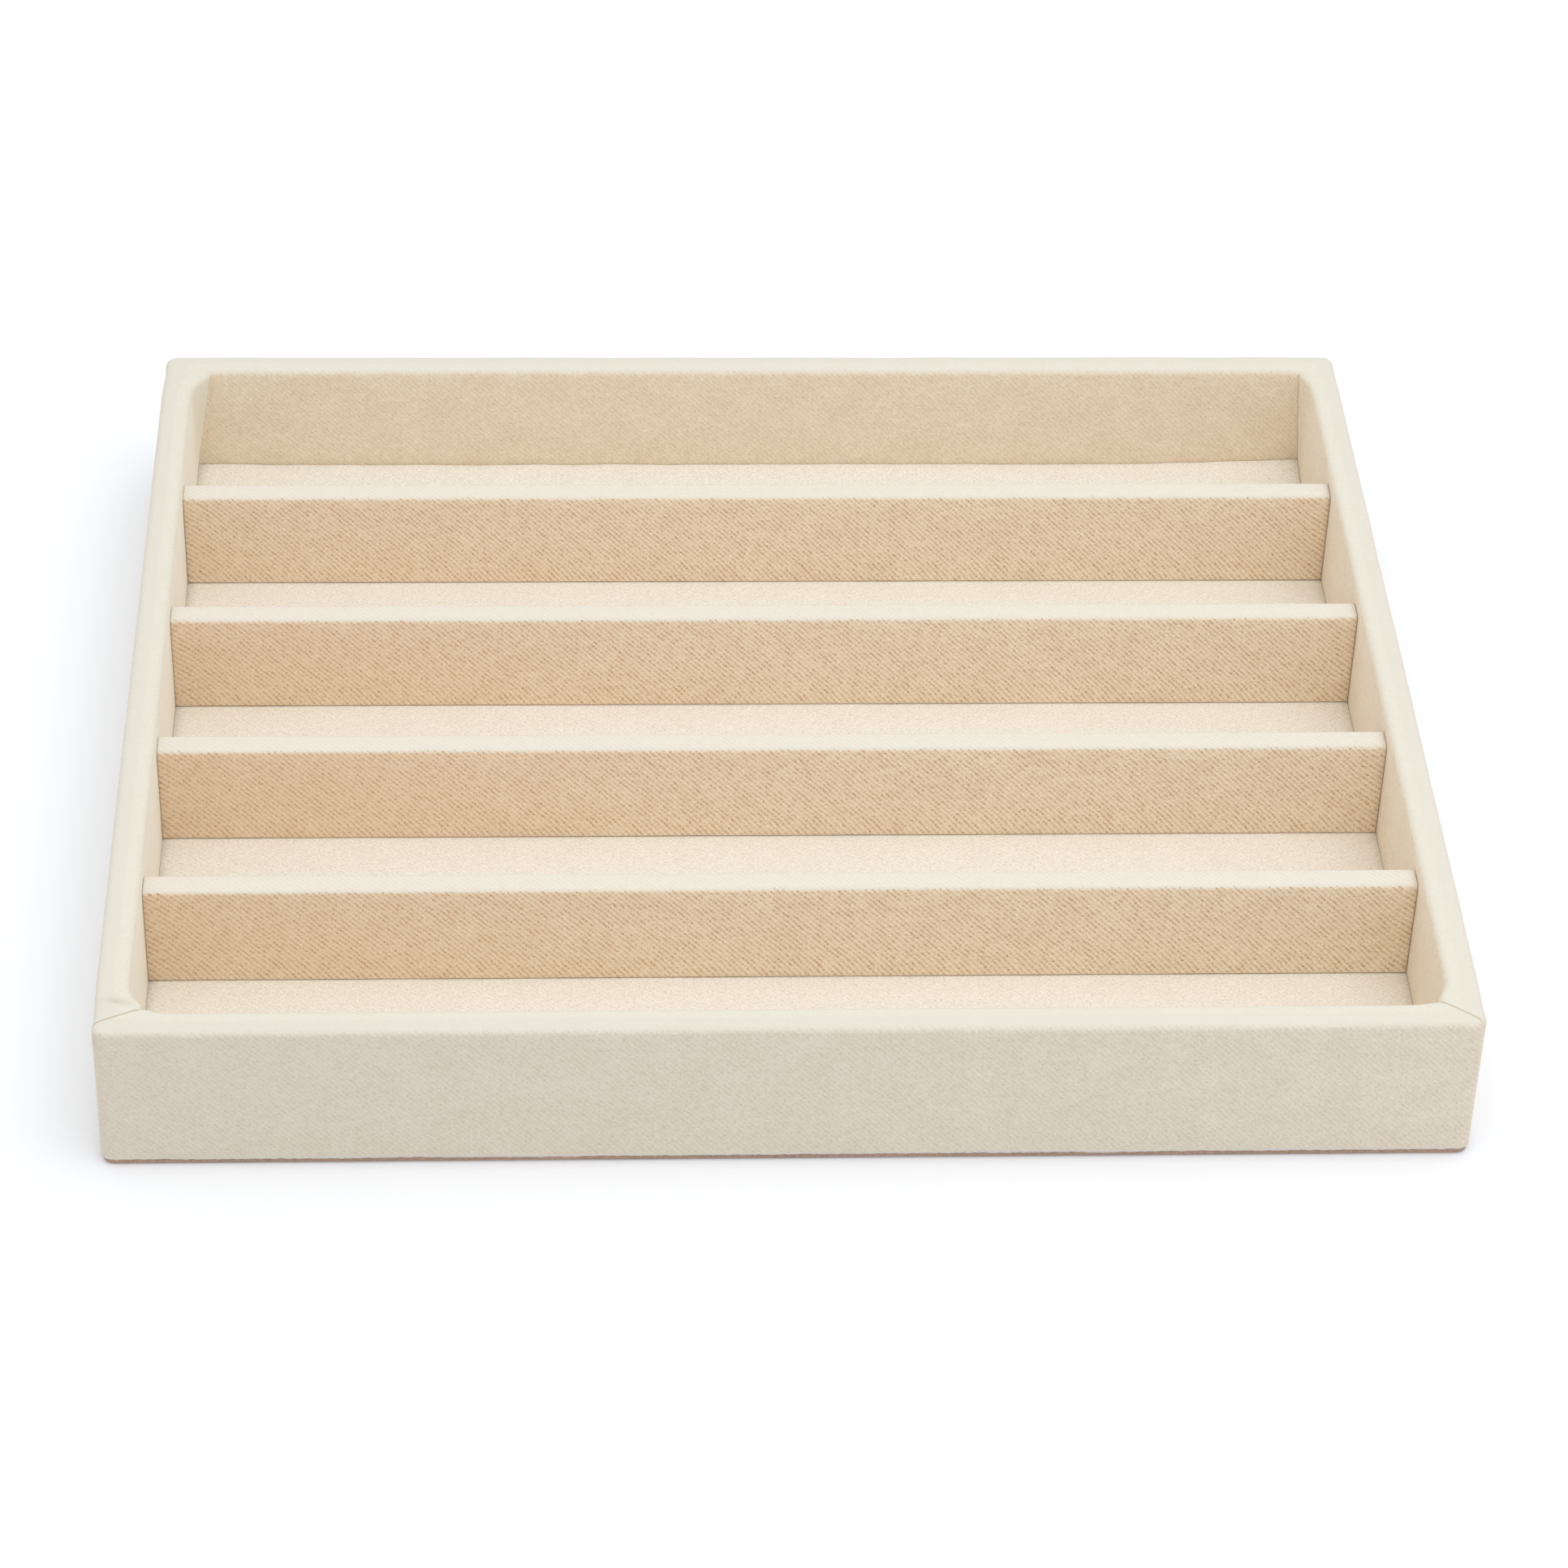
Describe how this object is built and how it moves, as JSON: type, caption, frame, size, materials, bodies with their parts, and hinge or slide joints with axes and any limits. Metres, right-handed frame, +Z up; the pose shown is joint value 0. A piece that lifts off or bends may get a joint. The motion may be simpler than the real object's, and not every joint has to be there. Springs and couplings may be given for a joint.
{
  "type": "jewelry tray",
  "caption": "Low rectangular jewelry tray with straight walls, covered in cream brushed cloth and parted by parallel wrapped dividers into long open channels.",
  "frame": {"origin": "middle of the underside, on the surface that the tray stands on", "axes": "+X along the dividers, to the right seen from the front; +Y to the rear; +Z up"},
  "size_m": [0.305, 0.267, 0.0386],
  "materials": {
    "brushed_twill": "matte",
    "fibreboard": "matte",
    "grey_card": "matte",
    "brown_leather_cloth": "matte",
    "steel_pins": "satin"
  },
  "bodies": {
    "root": {"wall_cloth": "brushed_twill", "floor_cloth": "brushed_twill", "divider_cloth_1": "brushed_twill", "divider_cloth_2": "brushed_twill", "divider_cloth_3": "brushed_twill", "divider_cloth_4": "brushed_twill", "base_board": "fibreboard", "front_wall_board": "fibreboard", "rear_wall_board": "fibreboard", "left_wall_board": "fibreboard", "right_wall_board": "fibreboard", "divider_board_1": "fibreboard", "divider_board_2": "fibreboard", "divider_board_3": "fibreboard", "divider_board_4": "fibreboard", "bottom_card": "grey_card", "floor_card": "grey_card", "bottom_cover": "brown_leather_cloth", "base_pins": "steel_pins", "corner_pins": "steel_pins"}
  },
  "joints": []
}
